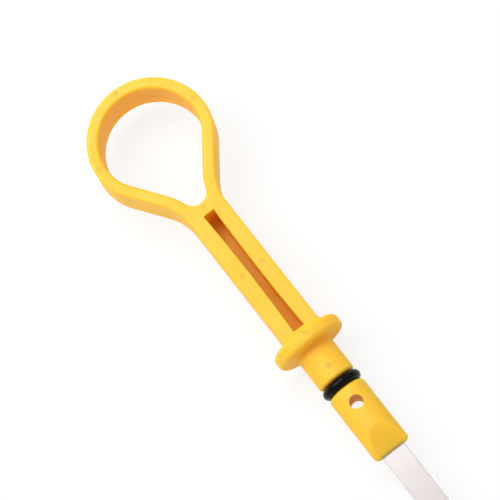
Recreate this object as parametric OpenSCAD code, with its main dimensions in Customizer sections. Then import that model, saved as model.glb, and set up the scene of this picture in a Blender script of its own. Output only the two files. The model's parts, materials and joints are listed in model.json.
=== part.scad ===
// Engine oil dipstick: a moulded pull handle, an O-ring and a flat steel gauge blade.
// The stick's own axis is X, measured from the seat under the flange towards the tip;
// Z is the front of the handle. The whole stick is then laid down as it comes to rest.

/* [Loop] */
// Outer radius of the finger loop
loop_r = 14.7; // [13:0.1:18]
// Width of the loop's band, seen from the front
band_w = 2.8; // [2:0.1:3.6]
// Outer radius of the shoulders, where the loop turns in towards its legs
shoulder_r = 12.3; // [10:0.1:12.9]
// Angle between a leg's straight stretch and the stick
leg_angle = 35.5; // [32:0.5:40]
// Radius of the hollow curve from a leg into the bar
leg_curve_r = 12.5; // [10:0.5:16]
// Solid length between the finger hole and the slot
crotch_t = 3; // [2:0.1:4]

/* [Grip bar] */
// Thickness of the loop and the bar, front to back
grip_t = 11; // [8:0.5:12]
// Width of the bar
bar_w = 9.6; // [8:0.1:11]
// Length of the slot in the bar
slot_l = 33.2; // [20:0.2:60]
// Width of the slot at its two ends
slot_end_w = 2.8; // [2:0.1:4]
// Width of the slot half-way along
slot_mid_w = 2.2; // [1.4:0.1:4]
// Thickness of the floor behind the slot
slot_floor_t = 3; // [1.5:0.1:6]
// Solid length between the slot and the flange
slot_margin = 1; // [0.8:0.1:4]
// Hollow radius where the bar's four sides meet the flange
bar_foot_r = 1; // [0.3:0.1:1.4]

/* [Flange] */
// Radius of the flange that stops on the tube's mouth
flange_r = 8.5; // [8:0.1:12]
// Thickness of the flange
flange_t = 3.4; // [2:0.1:5]
// Rounding of the flange's rim
rim_r = 0.8; // [0.3:0.05:0.95]

/* [Plug] */
// Diameter of the neck and of the shank
plug_d = 9; // [8:0.1:10]
// Length of the neck, from the seat to the O-ring groove
neck_l = 9.1; // [5:0.1:15]
// Hollow radius where the neck meets the seat
neck_foot_r = 0.5; // [0.2:0.1:1]
// Length of the shank, from the O-ring groove to the nose's end
shank_l = 17; // [15:0.1:25]
// Rounding of the two edges beside the groove
groove_edge_r = 0.9; // [0.3:0.1:1.2]
// Radius of the cross hole through the shank and the blade
cross_hole_r = 1.6; // [1:0.1:1.9]
// Distance from the shank's top to the cross hole's centre
cross_hole_x = 4.3; // [4:0.1:6]
// Length of the flats that thin the nose to a wedge
wedge_l = 6.4; // [3:0.1:7]
// Thickness of the nose at its end
nose_t = 2.9; // [2:0.1:4]
// Rounding of the nose's corners
nose_r = 1; // [0.3:0.1:1.4]

/* [O-ring] */
// Diameter of the O-ring's cord
cord_d = 2.4; // [1.8:0.1:3]
// How far the O-ring stands proud of the plug
ring_proud = 0.4; // [0.1:0.05:0.6]
// Clearance between the O-ring and each side of its groove
groove_side_gap = 0.1; // [0.05:0.05:0.3]
// Clearance between the O-ring and the bottom of its groove
groove_root_gap = 0.02; // [0.01:0.01:0.1]

/* [Blade] */
// Width of the gauge blade
blade_w = 5.8; // [4.6:0.1:6.4]
// Thickness of the blade
blade_t = 0.8; // [0.5:0.1:1.4]
// Distance from the seat to the blade's tip
reach = 326; // [150:1:600]
// Steel left between the cross hole and the blade's hidden end
blade_head_l = 1.6; // [1:0.1:2]
// Corner radius at the blade's tip
tip_r = 0.5; // [0.3:0.1:2]

/* [Level marks] */
// Distance from the tip to the hole of the low mark
low_mark_x = 14; // [8:0.5:30]
// Distance between the low and full marks
mark_gap = 20; // [10:0.5:40]
// Diameter of the marks' holes
mark_d = 1.6; // [1:0.1:2.4]
// Distance between hatch lines along the blade
hatch_pitch = 1.6; // [1:0.1:3]
// Width of a hatch line
hatch_w = 0.3; // [0.2:0.05:0.5]
// Depth of a hatch line
hatch_depth = 0.1; // [0.05:0.01:0.15]
// Angle of the hatch lines to the blade
hatch_angle = 45; // [30:1:60]

/* [Hidden] */
$fn = 144;
// How far a cutting shape runs past the face it cuts
past = 0.5;
// How far a round cut runs into the edge that it would only touch, so that the two cross
bite = 0.002;

// Stations along the stick, from the slot up to the loop
slot_end_x = -flange_t - slot_margin;
slot_top_x = slot_end_x - slot_l;
crotch_x = slot_top_x - crotch_t;

// A leg's outer edge: the hollow curve ends on the bar beside the slot's top
leg_out = [sin(leg_angle), cos(leg_angle)];
curve_c = [slot_top_x, bar_w / 2 + leg_curve_r];
shoulder_y = loop_r - shoulder_r;
leg_drop = leg_curve_r + shoulder_r - (curve_c.y - shoulder_y) * leg_out.y;
loop_x = curve_c.x - leg_drop / leg_out.x;
shoulder_c = [loop_x, shoulder_y];

// Bottom of the finger hole: a circle that touches both inner leg curves
inner_curve_r = leg_curve_r + band_w;
crotch_r = (pow(curve_c.y, 2) + pow(crotch_t, 2) - pow(inner_curve_r, 2))
         / (2 * (inner_curve_r - crotch_t));
crotch_c = [crotch_x - crotch_r, 0];

// Stations along the plug
plug_r = plug_d / 2;
groove_w = cord_d + 2 * groove_side_gap;
shank_x = neck_l + groove_w;
nose_x = shank_x + shank_l;
hole_x = shank_x + cross_hole_x;
ring_x = neck_l + groove_w / 2;
ring_r = plug_r + ring_proud - cord_d / 2;
groove_root_r = ring_r - cord_d / 2 - groove_root_gap;

// Stations along the blade
blade_x = hole_x - cross_hole_r - blade_head_l;
low_x = reach - low_mark_x;
full_x = low_x - mark_gap;
hatch_x0 = full_x + mark_d;
hatch_x1 = low_x - mark_d;
hatch_run = blade_w / tan(hatch_angle);

// At rest the flange's rim and the blade's tip touch the ground
rest_arm = reach + rim_r;
rest_drop = flange_r - rim_r - blade_t / 2;
rest_tilt = atan2(rest_drop, rest_arm) + asin(rim_r / norm([rest_arm, rest_drop]));
rest_z = reach * sin(rest_tilt) + blade_t / 2 * cos(rest_tilt);
low_end_x = (loop_x - loop_r) * cos(rest_tilt) - grip_t / 2 * sin(rest_tilt);
high_end_x = reach * cos(rest_tilt) + blade_t / 2 * sin(rest_tilt);
mid_x = (low_end_x + high_end_x) / 2;

// Lays the stick down, with the ground at Z = 0 and the origin under its middle
module laid_down() {
    translate([-mid_x, 0, rest_z]) rotate([0, rest_tilt, 0]) children();
}

// Draws a flat shape and its mirror image across the stick's axis
module both_sides() {
    children();
    mirror([0, 1]) children();
}

// Rounded head of the loop: half a circle, then the two tighter shoulders
module loop_head(inset) {
    intersection() {
        translate([loop_x, 0]) circle(loop_r - inset);
        translate([loop_x - 2 * loop_r, -2 * loop_r]) square([2 * loop_r, 4 * loop_r]);
    }
    both_sides() translate(shoulder_c) circle(shoulder_r - inset);
}

// Ends of a leg's straight edge, on the shoulder and on the hollow curve
function leg_edge(inset) = [shoulder_c + (shoulder_r - inset - bite) * leg_out,
                            curve_c - (leg_curve_r + inset) * leg_out];

// Flat shape of the loop's outside, its legs and the bar, as far as the flange
module grip_outline() {
    loop_head(0);
    both_sides() difference() {
        polygon(concat([[loop_x, 0]], leg_edge(0), [curve_c, [slot_top_x, bar_w / 2],
                [-flange_t / 2, bar_w / 2], [-flange_t / 2, 0]]));
        translate(curve_c) circle(leg_curve_r + bite);
    }
}

// Flat shape of the finger hole
module finger_hole() {
    loop_head(band_w);
    both_sides() difference() {
        polygon(concat([[loop_x, 0]], leg_edge(band_w), [curve_c, crotch_c]));
        translate(curve_c) circle(inner_curve_r + bite);
    }
    translate(crotch_c) circle(crotch_r + bite);
}

// Half width of the slot at a share of its length: its sides bow towards each other
function slot_half(share) = (slot_mid_w + (slot_end_w - slot_mid_w) * pow(2 * share - 1, 2)) / 2;

module slot_outline() {
    steps = 12;
    side = [for (i = [0:steps]) [slot_top_x + slot_l * i / steps, slot_half(i / steps)]];
    polygon(concat(side, [for (i = [steps:-1:0]) [side[i].x, -side[i].y]]));
}

// Hollow corner between the flange and a side of the bar, and its mirror image
module bar_foot(side) {
    both_sides() translate([-flange_t - bar_foot_r, side]) difference() {
        translate([0, -bar_foot_r]) square(2 * bar_foot_r);
        translate([0, bar_foot_r]) circle(bar_foot_r);
    }
}

module grip() {
    difference() {
        union() {
            translate([0, 0, -grip_t / 2]) linear_extrude(grip_t) {
                difference() {
                    grip_outline();
                    finger_hole();
                }
                bar_foot(bar_w / 2);
            }
            translate([0, bar_w / 2, 0]) rotate([90, 0, 0]) linear_extrude(bar_w) bar_foot(grip_t / 2);
        }
        translate([0, 0, slot_floor_t - grip_t / 2]) linear_extrude(grip_t) slot_outline();
    }
}

// Half section of a round length of the plug, with its two outer edges rounded
module round_length(r, from, to, edge_from, edge_to) {
    difference() {
        translate([0, from]) square([r, to - from]);
        translate([r - edge_from, from]) square(edge_from);
        translate([r - edge_to, to - edge_to]) square(edge_to);
    }
    translate([r - edge_from, from + edge_from]) circle(edge_from);
    translate([r - edge_to, to - edge_to]) circle(edge_to);
}

// Flange, neck, groove and shank, all round the stick's axis
module turned_body() {
    rotate([0, 90, 0]) rotate_extrude() {
        round_length(flange_r, -flange_t, 0, rim_r, rim_r);
        round_length(plug_r, -flange_t, neck_l, groove_edge_r, groove_edge_r);
        translate([plug_r - neck_foot_r, -neck_foot_r]) difference() {
            square(2 * neck_foot_r);
            translate([2 * neck_foot_r, 2 * neck_foot_r]) circle(neck_foot_r);
        }
        translate([0, neck_l - past]) square([groove_root_r, groove_w + 2 * past]);
        round_length(plug_r, shank_x, nose_x, groove_edge_r, nose_r);
    }
}

// The flat that thins the nose on its front; the back has its mirror image
module nose_flat() {
    slope = (plug_r - nose_t / 2) / wedge_l;
    translate([0, plug_r + past, 0]) rotate([90, 0, 0]) linear_extrude(plug_d + 2 * past)
        polygon([[nose_x - wedge_l, plug_r], [nose_x + past, nose_t / 2 - slope * past],
                 [nose_x + past, plug_r + past], [nose_x - wedge_l, plug_r + past]]);
}

// Space in the shank that the blade's head fills, open at the nose
module blade_pocket() {
    translate([blade_x, -blade_w / 2, -blade_t / 2]) cube([nose_x + past - blade_x, blade_w, blade_t]);
}

// One moulding: loop, bar, flange, neck and shank
module handle() {
    color([0.99, 0.79, 0.27]) laid_down() difference() {
        union() {
            grip();
            turned_body();
        }
        nose_flat();
        mirror([0, 0, 1]) nose_flat();
        blade_pocket();
        translate([hole_x, 0, -plug_r - past]) cylinder(r = cross_hole_r, h = plug_d + 2 * past);
    }
}

// Rubber ring, squeezed into its groove by the tube
module o_ring() {
    color([0.07, 0.07, 0.08]) laid_down() translate([ring_x, 0, 0]) rotate([0, 90, 0])
        rotate_extrude() translate([ring_r, 0]) circle(d = cord_d);
}

// Plan of the blade: square tip with rounded corners, the cross hole and the two marks
module blade_plan() {
    difference() {
        translate([blade_x, -blade_w / 2]) square([reach - blade_x, blade_w]);
        both_sides() translate([reach - tip_r, blade_w / 2 - tip_r]) difference() {
            square(tip_r + past);
            circle(tip_r);
        }
        translate([hole_x, 0]) circle(cross_hole_r);
        for (x = [low_x, full_x]) translate([x, 0]) circle(d = mark_d);
    }
}

// One hatch line across the blade's front, starting at station x on one edge
module hatch_line(x) {
    translate([x, -blade_w / 2, blade_t / 2 - hatch_depth]) rotate([0, 0, hatch_angle])
        translate([-past, -hatch_w / 2, 0])
            cube([blade_w / sin(hatch_angle) + 2 * past, hatch_w, hatch_depth + past]);
}

// Crossed lines between the two marks, which hold a film of oil
module hatching() {
    intersection() {
        for (x = [hatch_x0 - hatch_run:hatch_pitch:hatch_x1]) {
            hatch_line(x);
            mirror([0, 1, 0]) hatch_line(x);
        }
        translate([hatch_x0, -blade_w, 0])
            cube([hatch_x1 - hatch_x0, 2 * blade_w, blade_t + past]);
    }
}

// Flat spring steel strip, moulded into the shank, with two level marks near its tip
module blade() {
    color([0.87, 0.87, 0.88]) laid_down() difference() {
        translate([0, 0, -blade_t / 2]) linear_extrude(blade_t) blade_plan();
        hatching();
    }
}

handle();
o_ring();
blade();
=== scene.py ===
"""An engine oil dipstick: a yellow moulded pull handle, a black O-ring and a steel gauge blade."""

import json
from math import atan2, cos, degrees, pi, radians, sin, tan

import bmesh
import bpy
from mathutils import Matrix, Vector


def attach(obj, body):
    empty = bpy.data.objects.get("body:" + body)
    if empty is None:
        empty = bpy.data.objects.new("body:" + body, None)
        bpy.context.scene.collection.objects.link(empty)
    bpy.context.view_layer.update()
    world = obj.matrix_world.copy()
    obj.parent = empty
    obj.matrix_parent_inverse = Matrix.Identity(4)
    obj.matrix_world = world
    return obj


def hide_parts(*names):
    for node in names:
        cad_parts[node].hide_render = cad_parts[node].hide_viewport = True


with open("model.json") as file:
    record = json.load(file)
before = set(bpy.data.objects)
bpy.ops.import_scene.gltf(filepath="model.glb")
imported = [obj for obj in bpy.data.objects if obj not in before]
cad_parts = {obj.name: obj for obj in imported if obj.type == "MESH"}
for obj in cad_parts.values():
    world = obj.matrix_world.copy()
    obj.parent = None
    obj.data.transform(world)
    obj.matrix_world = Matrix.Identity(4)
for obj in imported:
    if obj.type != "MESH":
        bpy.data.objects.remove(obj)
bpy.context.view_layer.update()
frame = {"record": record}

# Handle, its grip. The finger loop, the legs and the slotted bar are the upper half of a single
# moulding in yellow ABS. The two halves of the mould close from the front and the back, so the
# rims are rounded, most where the finger pulls, and a fine parting line runs round the middle.

MM = 0.001
# Points nearer than the first of these count as one, and edges shorter than the second as none
TINY, SLIVER = 1e-4, 1e-5
# Each piece is drawn in the stick's own millimetres, with X to the tip, Z to the front and the
# origin on the seat, and is laid down at the end where the frame has the seat
seat = next(m for m in frame["record"]["mounts"] if m["name"] == "tube_seat")
stick_x = Vector(seat["axis"]).normalized()
stick_y = Vector((0, 1, 0))
laid_down = Matrix((stick_x, stick_y, stick_x.cross(stick_y))).transposed().to_4x4()
laid_down.translation = (seat["pos_m"][0], 0, seat["pos_m"][2])
laid_down = laid_down @ Matrix.Scale(MM, 4)

loop_r, band_w, shoulder_r = 14.7, 2.8, 12.3
leg_deg, leg_curve_r, crotch_t = 35.5, 12.5, 3.0
grip_t, bar_w, bar_foot_r = 11.0, 9.6, 1.0
slot_l, slot_end_w, slot_mid_w, slot_floor_t, slot_margin = 33.2, 2.8, 2.2, 3.0, 1.0
flange_t = 3.4
rim_edge_r, finger_edge_r = 0.6, 0.8
parting_w, parting_depth = 0.14, 0.05
# How many straight steps stand for each rounding
loop_steps, leg_steps, crotch_steps, slot_steps = 40, 16, 12, 24
rim_steps, finger_steps, foot_steps, parting_steps = 4, 6, 6, 2
# An edge counts as sharp where its two faces turn by more than this, in radians
sharp_turn = 1.0

slot_end_x = -flange_t - slot_margin
slot_top_x = slot_end_x - slot_l
bar_end_x = -flange_t - bar_foot_r
leg_out = Vector((sin(radians(leg_deg)), cos(radians(leg_deg))))
curve_c = Vector((slot_top_x, bar_w / 2 + leg_curve_r))
shoulder_y = loop_r - shoulder_r
leg_drop = leg_curve_r + shoulder_r - (curve_c.y - shoulder_y) * leg_out.y
loop_x = curve_c.x - leg_drop / leg_out.x
inner_curve_r = leg_curve_r + band_w
crotch_r = (curve_c.y ** 2 + crotch_t ** 2 - inner_curve_r ** 2) / (2 * (inner_curve_r - crotch_t))
crotch_c = Vector((slot_top_x - crotch_t - crotch_r, 0))


def arc(centre, radius, start, end, steps):
    """Points on a round stretch of an outline, between two angles in degrees."""
    angles = [radians(start + (end - start) * i / steps) for i in range(steps + 1)]
    return [Vector((centre[0] + radius * cos(a), centre[1] + radius * sin(a))) for a in angles]


def both_sides(half):
    """A whole outline, from the half of it on one side of the stick."""
    return half + [Vector((p.x, -p.y)) for p in reversed(half)]


def everything(bm):
    """All the points, edges and faces of a bmesh."""
    return bm.verts[:] + bm.edges[:] + bm.faces[:]


def extrude(bm, faces, step, from_solid=True):
    """Pulls faces out by a step, and returns the faces and points at the new end."""
    grown = bmesh.ops.extrude_face_region(bm, geom=faces)["geom"]
    points = [g for g in grown if isinstance(g, bmesh.types.BMVert)]
    bmesh.ops.translate(bm, verts=points, vec=step)
    # Faces that ended a solid would stay behind as a wall inside it
    if from_solid:
        bmesh.ops.delete(bm, geom=faces, context="FACES")
    return [g for g in grown if isinstance(g, bmesh.types.BMFace)], points


def slab(outline, low, high):
    """A closed bmesh with this outline, between two heights."""
    bm = bmesh.new()
    face = bm.faces.new([bm.verts.new((p.x, p.y, low)) for p in outline])
    extrude(bm, [face], (0, 0, high - low), from_solid=False)
    return bm


def bevel(bm, edges, radius, segments):
    """Rounds edges off."""
    bmesh.ops.bevel(bm, geom=edges, offset=radius, offset_type="OFFSET", segments=segments,
                    profile=0.5, affect="EDGES", material=-1)


def rims_of(bm):
    """The sharp edges round the front and the back of a flat shape."""
    bmesh.ops.recalc_face_normals(bm, faces=bm.faces)
    bm.normal_update()
    return [e for e in bm.edges if e.verts[0].co.z == e.verts[1].co.z
            and e.calc_face_angle(0) > sharp_turn]


def in_finger_hole(rim):
    """Whether a rim runs round the finger hole: the wall beside it then faces the loop's middle."""
    wall = min(rim.link_faces, key=lambda face: abs(face.normal.z))
    return wall.normal.x * (rim.verts[0].co.x - loop_x) + wall.normal.y * rim.verts[0].co.y < 0


def grow_foot(bm):
    """Flares the bar's end out over a hollow radius, and runs it on into the flange."""
    end = [f for f in bm.faces if all(v.co.x > bar_end_x - TINY for v in f.verts)]
    was = Vector((0, 0))
    for i in range(1, foot_steps + 1):
        turn = radians(90 * i / foot_steps)
        now = Vector((sin(turn), 1 - cos(turn))) * bar_foot_r
        end, points = extrude(bm, end, (now.x - was.x, 0, 0))
        for v in points:
            over = Vector((max(abs(v.co.y) - bar_w / 2 + rim_edge_r, 0),
                           max(abs(v.co.z) - grip_t / 2 + rim_edge_r, 0)))
            out = over.normalized()
            # The corners flare less, so that they stay on the round flange
            out *= (now.y - was.y) * (1 - out.x * out.y)
            v.co.y += out.x if v.co.y > 0 else -out.x
            v.co.z += out.y if v.co.z > 0 else -out.y
        was = now
    extrude(bm, end, (flange_t / 2, 0, 0))


def part_line(bm):
    """Presses in the fine line where the mould's halves meet, at the middle of the thickness."""
    bmesh.ops.bisect_plane(bm, geom=everything(bm), dist=TINY, plane_co=(0, 0, 0),
                           plane_no=(0, 0, 1))
    line = [e for e in bm.edges if all(abs(v.co.z) < TINY for v in e.verts)]
    bevel(bm, line, parting_w / 2, parting_steps)
    bm.normal_update()
    for v in bm.verts:
        if abs(v.co.z) < TINY:
            v.co -= v.normal * parting_depth


def new_object(name, bm):
    """Makes an object of a finished bmesh, with its faces outward."""
    bmesh.ops.recalc_face_normals(bm, faces=bm.faces)
    mesh = bpy.data.meshes.new(name)
    bm.to_mesh(mesh)
    bm.free()
    piece = bpy.data.objects.new(name, mesh)
    bpy.context.scene.collection.objects.link(piece)
    return piece


def grip():
    """Half of the flat outline, mirrored, grown to its thickness and rounded at its rims."""
    outer = arc((loop_x, 0), loop_r, 180, 90, loop_steps)
    outer += arc((loop_x, shoulder_y), shoulder_r, 90, 90 - leg_deg, leg_steps)[1:]
    outer += arc(curve_c, leg_curve_r, -90 - leg_deg, -90, leg_steps)
    outer += [Vector((bar_end_x, bar_w / 2)), Vector((bar_end_x, 0))]
    meet = degrees(atan2(curve_c.y - crotch_c.y, curve_c.x - crotch_c.x))
    inner = arc((loop_x, 0), loop_r - band_w, 180, 90, loop_steps)
    inner += arc((loop_x, shoulder_y), shoulder_r - band_w, 90, 90 - leg_deg, leg_steps)[1:]
    inner += arc(curve_c, inner_curve_r, -90 - leg_deg, meet - 180, leg_steps // 2)
    inner += arc(crotch_c, crotch_r, meet, 0, crotch_steps)[1:]
    bm = bmesh.new()
    bm.faces.new([bm.verts.new((p.x, p.y, -grip_t / 2)) for p in outer + inner[::-1]])
    bmesh.ops.mirror(bm, geom=everything(bm), axis="Y", merge_dist=TINY)
    bmesh.ops.recalc_face_normals(bm, faces=bm.faces)
    extrude(bm, bm.faces[:], (0, 0, grip_t), from_solid=False)
    rims = [e for e in rims_of(bm) if min(v.co.x for v in e.verts) < bar_end_x - TINY]
    finger_rims = [e for e in rims if in_finger_hole(e)]
    outer_rims = [e for e in rims if e not in finger_rims]
    bevel(bm, finger_rims, finger_edge_r, finger_steps)
    bevel(bm, outer_rims, rim_edge_r, rim_steps)
    grow_foot(bm)
    part_line(bm)
    return new_object("pull_handle", bm)


def slot_side(share):
    """A point on the slot's side, which bows in towards the middle of its length."""
    width = slot_mid_w + (slot_end_w - slot_mid_w) * (2 * share - 1) ** 2
    return Vector((slot_top_x + slot_l * share, width / 2))


handle = grip()
slot_outline = both_sides([slot_side(i / slot_steps) for i in range(slot_steps + 1)])
slot = new_object("slot", slab(slot_outline, slot_floor_t - grip_t / 2, grip_t))

# Handle, its plug. The flange stops on the mouth of the dipstick tube; the neck and the shank are
# turned shapes in the mould, with the O-ring's groove between them, a cross hole, a nose thinned
# to a wedge by two flats, and the space of the blade's head, whose hole the plastic runs through.

flange_r, flange_rim_r = 8.5, 1.1
plug_r, neck_l, neck_foot_r, shank_l, groove_edge_r = 4.5, 9.1, 0.5, 17.0, 0.9
cord_d, ring_proud, groove_side_gap, groove_root_gap = 2.4, 0.4, 0.1, 0.02
cross_hole_r, cross_hole_x = 1.6, 4.3
wedge_l, nose_t, nose_r = 6.4, 2.9, 1.0
blade_w, blade_t, blade_head_l, anchor_hole_r = 5.8, 0.8, 1.6, 2.1
slot_edge_r = 0.2
# The nose is eased from this far before its flats, in cells of this size, by this many passes
# that each move a point this share of the way to the middle of its neighbours
soft_run, soft_cell, soft_passes, soft_share = 1.5, 0.3, 10, 0.5
turn_steps, edge_steps, slot_edge_steps, pin_steps = 128, 8, 3, 64
# A shape that cuts another one runs this far past it
past = 0.5

groove_w = cord_d + 2 * groove_side_gap
shank_x = neck_l + groove_w
nose_x = shank_x + shank_l
soft_x = nose_x - wedge_l - soft_run
hole_x = shank_x + cross_hole_x
ring_r = plug_r + ring_proud - cord_d / 2
groove_root_r = ring_r - cord_d / 2 - groove_root_gap
blade_x = hole_x - cross_hole_r - blade_head_l


def turned(profile):
    """A bmesh turned round the stick from points of station and radius, open at both ends."""
    bm = bmesh.new()
    points = [bm.verts.new((p[0], p[1], 0)) for p in profile]
    edges = [bm.edges.new(pair) for pair in zip(points, points[1:])]
    bmesh.ops.spin(bm, geom=points + edges, cent=(0, 0, 0), axis=(1, 0, 0), angle=2 * pi,
                   steps=turn_steps, use_merge=True)
    bmesh.ops.remove_doubles(bm, verts=bm.verts, dist=TINY)
    return bm


def cut_off(bm, place, outward):
    """Takes away what lies past a plane, and closes the cut."""
    cut = bmesh.ops.bisect_plane(bm, geom=everything(bm), dist=TINY, clear_outer=True,
                                 plane_co=place, plane_no=outward.normalized())["geom_cut"]
    bmesh.ops.holes_fill(bm, edges=[g for g in cut if isinstance(g, bmesh.types.BMEdge)])


def past_station(bm, x):
    """The points, edges and faces of a bmesh that lie past a station."""
    points = [v for v in bm.verts if v.co.x > x - TINY]
    sides = [g for g in bm.edges[:] + bm.faces[:] if all(v.co.x > x - TINY for v in g.verts)]
    return points + sides


def soften_nose(bm):
    """Splits the nose into small cells and eases them, so that its edges blend as in a moulding."""
    for axis, start, end in (("x", soft_x, nose_x), ("y", -plug_r, plug_r),
                             ("z", -nose_t / 2, nose_t / 2)):
        cells = round((end - start) / soft_cell)
        for i in range(1, cells):
            place, across = Vector(), Vector()
            setattr(place, axis, start + (end - start) * i / cells)
            setattr(across, axis, 1)
            bmesh.ops.bisect_plane(bm, geom=past_station(bm, soft_x), dist=TINY, plane_co=place,
                                   plane_no=across)
    # The middle of the thickness stays as it is, so that the parting line runs true
    eased = [v for v in bm.verts if v.co.x > soft_x + TINY and abs(v.co.z) > nose_t / 4]
    for _ in range(soft_passes):
        bmesh.ops.smooth_vert(bm, verts=eased, factor=soft_share, use_axis_x=True,
                              use_axis_y=True, use_axis_z=True)


def plug():
    """Flange, neck, groove and shank, turned, with the nose thinned by two flat cuts."""
    # How far from the axis the roundings of the rim and of the groove's edges have their centres
    rim_c, edge_c = flange_r - flange_rim_r, plug_r - groove_edge_r
    profile = arc((flange_rim_r - flange_t, rim_c), flange_rim_r, 180, 90, edge_steps)
    profile += arc((-flange_rim_r, rim_c), flange_rim_r, 90, 0, edge_steps)
    profile += arc((neck_foot_r, plug_r + neck_foot_r), neck_foot_r, 180, 270, foot_steps)
    profile += arc((neck_l - groove_edge_r, edge_c), groove_edge_r, 90, 0, edge_steps)
    profile += [(neck_l, groove_root_r), (shank_x, groove_root_r)]
    profile += arc((shank_x + groove_edge_r, edge_c), groove_edge_r, 180, 90, edge_steps)
    profile += [(soft_x, plug_r)]
    profile += arc((nose_x - nose_r, plug_r - nose_r), nose_r, 90, 0, edge_steps)
    bm = turned(profile)
    bmesh.ops.holes_fill(bm, edges=bm.edges)
    for side in (1, -1):
        outward = Vector((plug_r - nose_t / 2, 0, side * wedge_l))
        cut_off(bm, (nose_x, 0, side * nose_t / 2), outward)
    soften_nose(bm)
    part_line(bm)
    return new_object("plug", bm)


def pin(name, x, y, radius, low, high, steps=pin_steps):
    """A round pin that stands across the stick, between two heights."""
    return new_object(name, slab(arc((x, y), radius, 0, 360, steps)[:-1], low, high))


def combine(piece, tools, operation, finish="INDEX", crossing=False):
    """Adds other closed shapes to a piece, or cuts them out, and may take over their finish."""
    for tool in tools:
        step = piece.modifiers.new(tool.name, "BOOLEAN")
        step.object = tool
        step.operation = operation
        step.solver = "EXACT"
        step.use_self = crossing
        step.material_mode = finish
    bpy.context.view_layer.update()
    shown = piece.evaluated_get(bpy.context.evaluated_depsgraph_get())
    mesh = bpy.data.meshes.new_from_object(shown)
    bm = bmesh.new()
    bm.from_mesh(mesh)
    bmesh.ops.dissolve_degenerate(bm, dist=SLIVER, edges=bm.edges)
    bm.to_mesh(mesh)
    bm.free()
    piece.data = mesh
    piece.modifiers.clear()
    for tool in tools:
        bpy.data.objects.remove(tool)


def on_slot_mouth(point):
    """Whether a point lies on the edge where the slot opens in the front."""
    in_length = slot_top_x - TINY < point.x < slot_end_x + TINY
    return in_length and abs(point.y) < slot_end_w / 2 + TINY and point.z > grip_t / 2 - TINY


def round_slot_mouth(piece):
    """Rounds the edge where the slot opens in the front."""
    bm = bmesh.new()
    bm.from_mesh(piece.data)
    bevel(bm, [e for e in bm.edges if e.calc_face_angle(0) > sharp_turn
               and all(on_slot_mouth(v.co) for v in e.verts)], slot_edge_r, slot_edge_steps)
    bm.to_mesh(piece.data)
    bm.free()


combine(handle, [plug()], "UNION")
pocket_side = [Vector((blade_x, blade_w / 2)), Vector((nose_x + past, blade_w / 2))]
pocket = new_object("pocket", slab(both_sides(pocket_side), -blade_t / 2, blade_t / 2))
combine(pocket, [pin("anchor", hole_x, 0, anchor_hole_r, -blade_t, blade_t)], "DIFFERENCE")
cross_hole = pin("cross_hole", hole_x, 0, cross_hole_r, -plug_r - past, plug_r + past)
combine(handle, [slot, pocket, cross_hole], "DIFFERENCE")
round_slot_mouth(handle)


def linear(hex_colour):
    """An sRGB colour written as six hex digits, as the linear values that a shader takes."""
    parts = [int(hex_colour[i:i + 2], 16) / 255 for i in (0, 2, 4)]
    return [c / 12.92 if c <= 0.04045 else ((c + 0.055) / 1.055) ** 2.4 for c in parts] + [1.0]


def add_node(material, kind, links=None, values=None, **settings):
    """Adds a node with its settings, its sockets' values and links into it from other sockets."""
    tree = material.node_tree
    node = tree.nodes.new(kind)
    for name, value in settings.items():
        setattr(node, name, value)
    for socket, value in (values or {}).items():
        node.inputs[socket].default_value = value
    for socket, source in (links or {}).items():
        tree.links.new(source, node.inputs[socket])
    return node


def new_material(name, values):
    """A material and its one shader, with the values that are the same all over it."""
    material = bpy.data.materials.new(name)
    material.use_nodes = True
    shader = material.node_tree.nodes["Principled BSDF"]
    for socket, value in values.items():
        shader.inputs[socket].default_value = value
    return material, shader


def moulded_abs(name, light_colour, deep_colour):
    """ABS from a spark-eroded mould: soft haze over a fine grain, and light that sinks in a bit."""
    # The mould's grain is about 0.05 mm across, and is drawn coarser so that it shows
    flow_size, grain_size, grain_height, sink_depth = 9.0, 0.3, 0.006, 4.0
    material, shader = new_material(name, {
        "IOR": 1.53, "Specular IOR Level": 0.6, "Subsurface Weight": 0.6,
        "Subsurface Scale": sink_depth * MM, "Subsurface Radius": (1.0, 0.5, 0.1)})
    place = add_node(material, "ShaderNodeTexCoord").outputs["Object"]
    flow = add_node(material, "ShaderNodeTexNoise", {"Vector": place},
                    {"Scale": 1 / (flow_size * MM), "Detail": 2.0})
    tone = add_node(material, "ShaderNodeMix", {"Factor": flow.outputs["Fac"]}, data_type="RGBA")
    tone.inputs["A"].default_value = linear(light_colour)
    tone.inputs["B"].default_value = linear(deep_colour)
    gloss = add_node(material, "ShaderNodeMapRange", {"Value": flow.outputs["Fac"]},
                     {"From Min": 0.3, "From Max": 0.7, "To Min": 0.54, "To Max": 0.62})
    grain = add_node(material, "ShaderNodeTexNoise", {"Vector": place},
                     {"Scale": 1 / (grain_size * MM), "Detail": 3.0})
    relief = add_node(material, "ShaderNodeBump", {"Height": grain.outputs["Fac"]},
                      {"Strength": 0.25, "Distance": grain_height * MM})
    links = material.node_tree.links
    links.new(tone.outputs["Result"], shader.inputs["Base Color"])
    links.new(gloss.outputs["Result"], shader.inputs["Roughness"])
    links.new(relief.outputs["Normal"], shader.inputs["Normal"])
    return material


def shade_smooth(piece):
    """Shades a piece smooth between its creases, with its flats kept flat."""
    crease_deg = 32
    for face in piece.data.polygons:
        face.use_smooth = True
    piece.data.set_sharp_from_angle(angle=radians(crease_deg))
    flats = piece.modifiers.new("flats", "WEIGHTED_NORMAL")
    flats.keep_sharp = True


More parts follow.
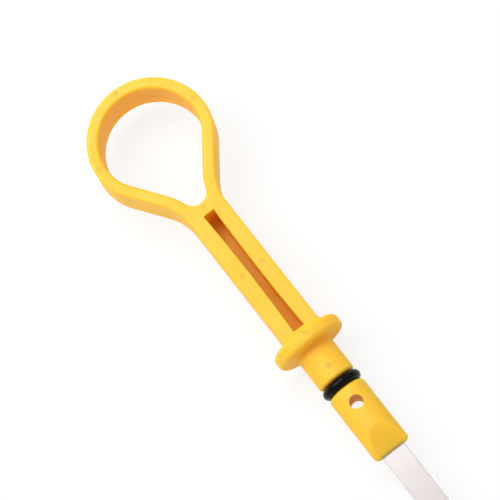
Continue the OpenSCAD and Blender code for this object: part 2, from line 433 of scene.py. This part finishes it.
# The ejector pins of the mould leave round shallow marks in the front, whose darker tone is painted
# shade for the shade that falls in their recesses
mark_r, mark_depth, mark_steps = 0.65, 0.04, 32
crown_mark_x, cheek_mark_x, cheek_mark_y = loop_x - 13.5, loop_x - 1.6, 13.25
crotch_mark_x, bar_mark_x, bar_mark_y = slot_top_x - 2, -21.4, 2.75
flange_mark_x, flange_mark_y, neck_mark_x, neck_mark_y = -2.2, 0.3, 6.1, 0.2
front = grip_t / 2
# On a round part a mark starts at the height where the pin's own edge meets it
flange_front, neck_front = ((r ** 2 - mark_r ** 2) ** 0.5 for r in (flange_r, plug_r))
marks = [(crown_mark_x, 0, front), (cheek_mark_x, cheek_mark_y, front),
         (cheek_mark_x, -cheek_mark_y, front), (crotch_mark_x, 0, front),
         (bar_mark_x, bar_mark_y, front), (bar_mark_x, -bar_mark_y, front),
         (flange_mark_x, flange_mark_y, flange_front), (neck_mark_x, neck_mark_y, neck_front)]
handle.data.materials.append(moulded_abs("moulded_abs", "FDC524", "FCBB16"))
mark_tools = [pin("mark", x, y, mark_r, height - mark_depth, height + past, mark_steps)
              for x, y, height in marks]
# The marks' darker colours are painted shade, standing in for the shade in their shallow recesses
mark_painted_shade_finish = moulded_abs("moulded_abs_pin_mark_painted_shade", "E2B518", "DEB014")
for tool in mark_tools:
    tool.data.materials.append(mark_painted_shade_finish)
combine(handle, mark_tools, "DIFFERENCE", "TRANSFER")
shade_smooth(handle)
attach(handle, "root")
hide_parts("handle")
handle.data.transform(laid_down)

# O-ring. A round cord of black nitrile rubber, stretched into its groove, where it seals the
# tube. It is smooth from its polished mould and has a thin film of oil.

cord_steps = 40
ring_x = neck_l + groove_w / 2
ring = new_object("seal_ring", turned(arc((ring_x, ring_r), cord_d / 2, 0, 360, cord_steps)))


def oiled_rubber():
    """Nitrile rubber: near black, with a soft sheen that the oil makes uneven."""
    film_size = 1.5
    material, shader = new_material("nitrile_rubber", {
        "Base Color": linear("080507"), "IOR": 1.52, "Specular IOR Level": 0.12})
    place = add_node(material, "ShaderNodeTexCoord").outputs["Object"]
    film = add_node(material, "ShaderNodeTexNoise", {"Vector": place},
                    {"Scale": 1 / (film_size * MM), "Detail": 3.0})
    gloss = add_node(material, "ShaderNodeMapRange", {"Value": film.outputs["Fac"]},
                     {"From Min": 0.35, "From Max": 0.65, "To Min": 0.12, "To Max": 0.2})
    material.node_tree.links.new(gloss.outputs["Result"], shader.inputs["Roughness"])
    return material


ring.data.materials.append(oiled_rubber())
shade_smooth(ring)
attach(ring, "root")
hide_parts("o_ring")
ring.data.transform(laid_down)

# Blade. A strip of rolled spring steel with eased edges, cut square at its tip. Two small holes
# mark the low and full levels, and crossed lines rolled in between them hold a film of oil.

reach, tip_r, blade_edge_r = 326.0, 0.5, 0.15
low_mark_x, mark_gap, level_hole_r = 14.0, 20.0, 0.8
hatch_pitch, hatch_w, hatch_depth, hatch_deg, hatch_margin = 1.6, 0.3, 0.1, 45, 0.4
tip_steps, blade_edge_steps = 6, 3

# It is drawn from the middle between its marks, where the fine hatching needs exact numbers
marks_x = reach - low_mark_x - mark_gap / 2
tip_x = reach - marks_x
head_x = blade_x - marks_x
hatch_end_x = mark_gap / 2 - 2 * level_hole_r
hatch_end_y = blade_w / 2 - hatch_margin


def hatch_bars():
    """Thin crossing bars, which press the hatched lines into the front."""
    half_run = blade_w / 2 / tan(radians(hatch_deg))
    # Each bar is long enough to cross the blade at its slant, and half of its height is sunk
    thin = Matrix.Diagonal((3 * blade_w, hatch_w, 2 * hatch_depth, 1))
    bm = bmesh.new()
    x = -hatch_end_x - half_run
    while x < hatch_end_x + half_run:
        at = Matrix.Translation((x, 0, blade_t / 2))
        for lean in (hatch_deg, -hatch_deg):
            turn = Matrix.Rotation(radians(lean), 4, "Z")
            bmesh.ops.create_cube(bm, size=1, matrix=at @ turn @ thin)
        x += hatch_pitch
    ends = [Vector((hatch_end_x, 0, 0)), Vector((0, hatch_end_y, 0))]
    for end in ends + [-e for e in ends]:
        cut_off(bm, end, end)
    return new_object("hatch", bm)


def blade_strip():
    """The plain strip, with its long edges and its tip rounded."""
    tip = arc((tip_x - tip_r, blade_w / 2 - tip_r), tip_r, 90, 0, tip_steps)
    bm = slab(both_sides([Vector((head_x, blade_w / 2))] + tip), -blade_t / 2, blade_t / 2)
    rims = [e for e in rims_of(bm) if max(v.co.x for v in e.verts) > head_x + TINY]
    bevel(bm, rims, blade_edge_r, blade_edge_steps)
    return new_object("gauge_blade", bm)


def rolled_steel():
    """Spring steel strip from polished rolls: bright, with hair-fine lines along its length."""
    # The real lines are about 0.02 mm apart, and are drawn coarser so that they show
    line_w, line_l, line_height = 0.12, 60.0, 0.001
    material, shader = new_material("rolled_spring_steel", {
        "Base Color": linear("D2CBCA"), "Metallic": 1.0})
    place = add_node(material, "ShaderNodeTexCoord").outputs["Object"]
    along = add_node(material, "ShaderNodeMapping", {"Vector": place},
                     {"Scale": (line_w / line_l, 1, 1)})
    lines = add_node(material, "ShaderNodeTexNoise", {"Vector": along.outputs["Vector"]},
                     {"Scale": 1 / (line_w * MM), "Detail": 3.0})
    gloss = add_node(material, "ShaderNodeMapRange", {"Value": lines.outputs["Fac"]},
                     {"From Min": 0.3, "From Max": 0.7, "To Min": 0.3, "To Max": 0.36})
    relief = add_node(material, "ShaderNodeBump", {"Height": lines.outputs["Fac"]},
                      {"Strength": 0.2, "Distance": line_height * MM})
    links = material.node_tree.links
    links.new(gloss.outputs["Result"], shader.inputs["Roughness"])
    links.new(relief.outputs["Normal"], shader.inputs["Normal"])
    return material


blade = blade_strip()
blade.data.materials.append(rolled_steel())
holes = ((hole_x - marks_x, anchor_hole_r), (-mark_gap / 2, level_hole_r),
         (mark_gap / 2, level_hole_r))
combine(blade, [pin("hole", x, 0, radius, -blade_t, blade_t) for x, radius in holes],
        "DIFFERENCE")
combine(blade, [hatch_bars()], "DIFFERENCE", crossing=True)
shade_smooth(blade)
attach(blade, "root")
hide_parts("blade")
blade.data.transform(laid_down @ Matrix.Translation((marks_x, 0, 0)))

# Studio. The stick lies on a white table in a light tent, with one long softbox over it. The
# camera looks down at the handle from nearly above. Places and sizes here are in metres.

table_size, white_share = 20.0, 0.8
tent_level = 0.6
softbox_w, softbox_l, softbox_watts = 0.38, 0.8, 4.9
softbox_place = (-0.45, -0.2, 0.62)
camera_place, camera_turn_deg = (-0.006844, -0.030101, 0.515021), (14.9376, 6.8954, 53.1545)
lens_mm, sensor_mm = 170.396, 36.0
scene = bpy.context.scene

floor_bm = bmesh.new()
bmesh.ops.create_grid(floor_bm, x_segments=1, y_segments=1, size=table_size)
floor = new_object("floor", floor_bm)
# Matt white paper, which the camera, glossy and transmission rays see as an even white
paper, paper_shader = new_material("white_paper", {"Base Color": linear("F2F2F2"),
                                                   "Roughness": 0.9})
rays = add_node(paper, "ShaderNodeLightPath")
seen = add_node(paper, "ShaderNodeMath", {0: rays.outputs["Is Camera Ray"],
                                          1: rays.outputs["Is Glossy Ray"]}, operation="MAXIMUM")
any_seen = add_node(paper, "ShaderNodeMath", {0: seen.outputs["Value"],
                                              1: rays.outputs["Is Transmission Ray"]},
                    operation="MAXIMUM")
share = add_node(paper, "ShaderNodeMath", {0: any_seen.outputs["Value"]}, {1: white_share},
                 operation="MULTIPLY")
white = add_node(paper, "ShaderNodeEmission", values={"Color": linear("FFFFFF"), "Strength": 1.0})
mix = add_node(paper, "ShaderNodeMixShader", {0: share.outputs["Value"],
                                              1: paper_shader.outputs["BSDF"],
                                              2: white.outputs["Emission"]})
paper_out = paper.node_tree.nodes["Material Output"]
paper.node_tree.links.new(mix.outputs["Shader"], paper_out.inputs["Surface"])
floor.data.materials.append(paper)

tent = bpy.data.worlds.new("light_tent")
scene.world = tent
tent.use_nodes = True
tent_cloth = tent.node_tree.nodes["Background"]
tent_cloth.inputs["Color"].default_value = linear("FFFFFF")
tent_cloth.inputs["Strength"].default_value = tent_level

# The softbox hangs level above the loop's side of the handle, and shows as the haze on its front
softbox_light = bpy.data.lights.new("key_softbox", "AREA")
softbox_light.shape = "RECTANGLE"
softbox_light.size, softbox_light.size_y = softbox_w, softbox_l
softbox_light.energy = softbox_watts
softbox = bpy.data.objects.new("key_softbox", softbox_light)
softbox.location = softbox_place
softbox.visible_camera = False
scene.collection.objects.link(softbox)

camera_data = bpy.data.cameras.new("camera")
camera_data.sensor_width = sensor_mm
camera_data.lens = lens_mm
camera = bpy.data.objects.new("camera", camera_data)
camera.location = camera_place
camera.rotation_euler = [radians(a) for a in camera_turn_deg]
scene.collection.objects.link(camera)
scene.camera = camera
scene.view_settings.view_transform = "Standard"
